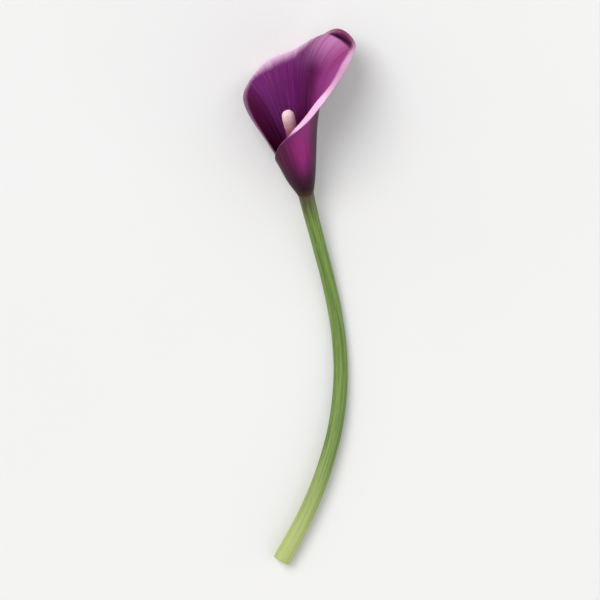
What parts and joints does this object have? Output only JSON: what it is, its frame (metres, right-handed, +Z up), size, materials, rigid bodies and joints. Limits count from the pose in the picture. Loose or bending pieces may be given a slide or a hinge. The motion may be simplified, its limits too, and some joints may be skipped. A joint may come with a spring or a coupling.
{
  "type": "arum lily flower",
  "caption": "Cut arum lily flower laid on its side: a purple spathe wrapped into a flared funnel round a pale club-shaped spadix, on a gently bent green stem.",
  "frame": {"origin": "on the ground, below the middle of the whole flower's box as it lies at rest", "axes": "+Z up from the ground; +Y runs from the cut end of the stem to the open flower; +X to the right of the picture"},
  "size_m": [0.052, 0.2578, 0.0492],
  "materials": {
    "stem": "satin",
    "spathe": "satin",
    "spadix": "matte"
  },
  "bodies": {
    "root": {"stem": "stem", "spathe": "spathe", "spadix": "spadix"}
  },
  "joints": []
}
